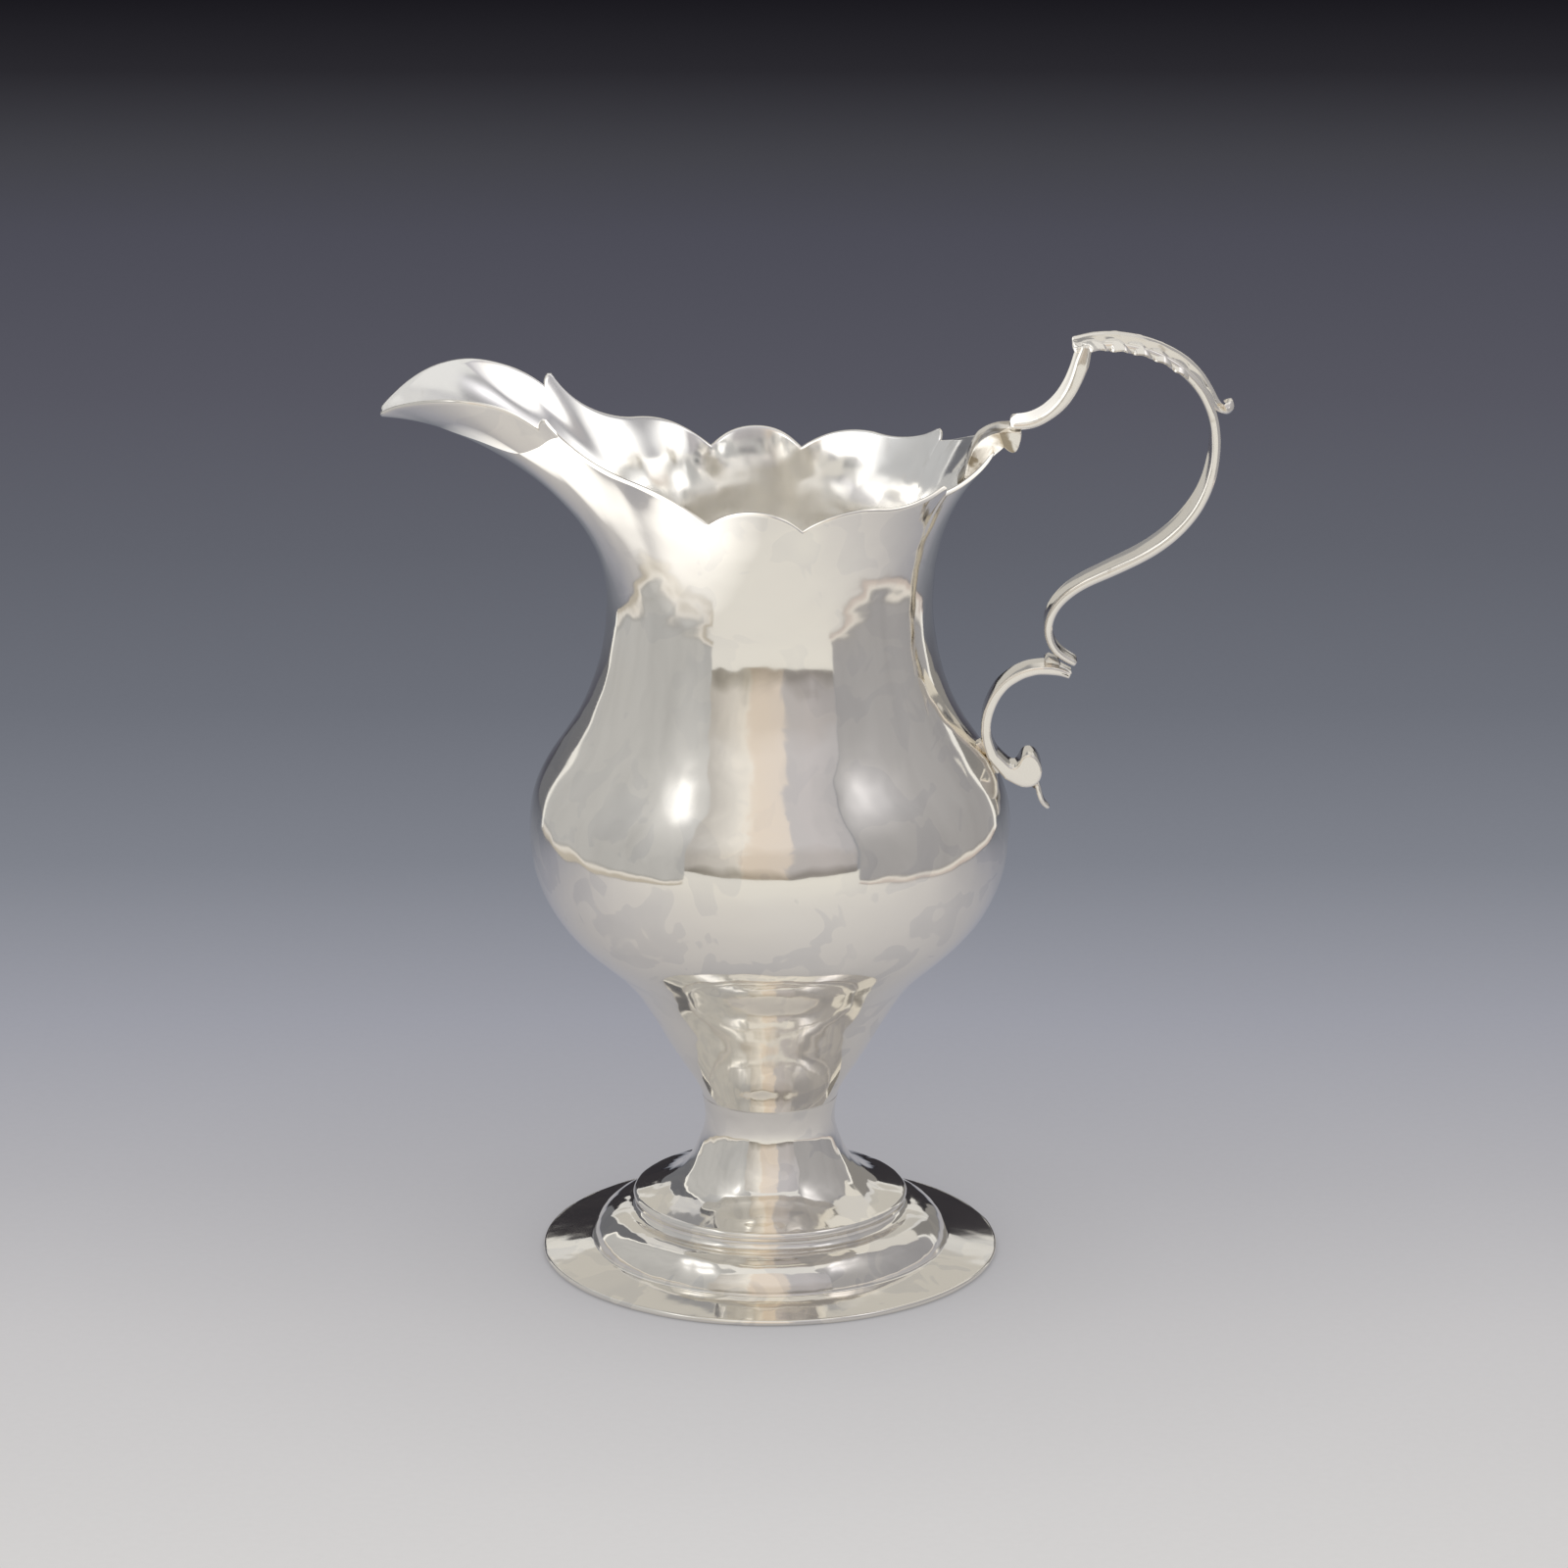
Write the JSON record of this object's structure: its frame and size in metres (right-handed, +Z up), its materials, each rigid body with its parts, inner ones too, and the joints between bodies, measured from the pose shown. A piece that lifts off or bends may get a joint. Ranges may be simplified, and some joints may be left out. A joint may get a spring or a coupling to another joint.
{
  "type": "cream jug",
  "caption": "Small silver baluster cream jug on a raised round foot, with a scalloped rim, a long lip and a leaf-capped double-scroll handle.",
  "frame": {"origin": "on the vessel's axis, on the plane that the foot stands on", "axes": "+Z up along the vessel's axis, -X towards the pouring lip, +X towards the handle"},
  "size_m": [0.1032, 0.059, 0.1172],
  "materials": {
    "raised_silver": "hand-raised sterling silver, softly planished and polished, with faint tarnish",
    "cast_silver": "cast and filed sterling silver, polished, with dirt in its recesses",
    "solder": "dull grey-brown silver solder"
  },
  "bodies": {
    "root": {"body_shell": "raised_silver", "foot": "raised_silver", "foot_rim_wire": "cast_silver", "rim_bracket": "cast_silver", "upper_scroll": "cast_silver", "leaf_cap": "cast_silver", "lower_scroll": "cast_silver", "tail_drop": "cast_silver", "waist_solder": "solder", "bracket_solder": "solder", "tongue_solder": "solder", "scroll_solder": "solder", "tail_solder": "solder", "joint_solder": "solder"}
  },
  "joints": []
}
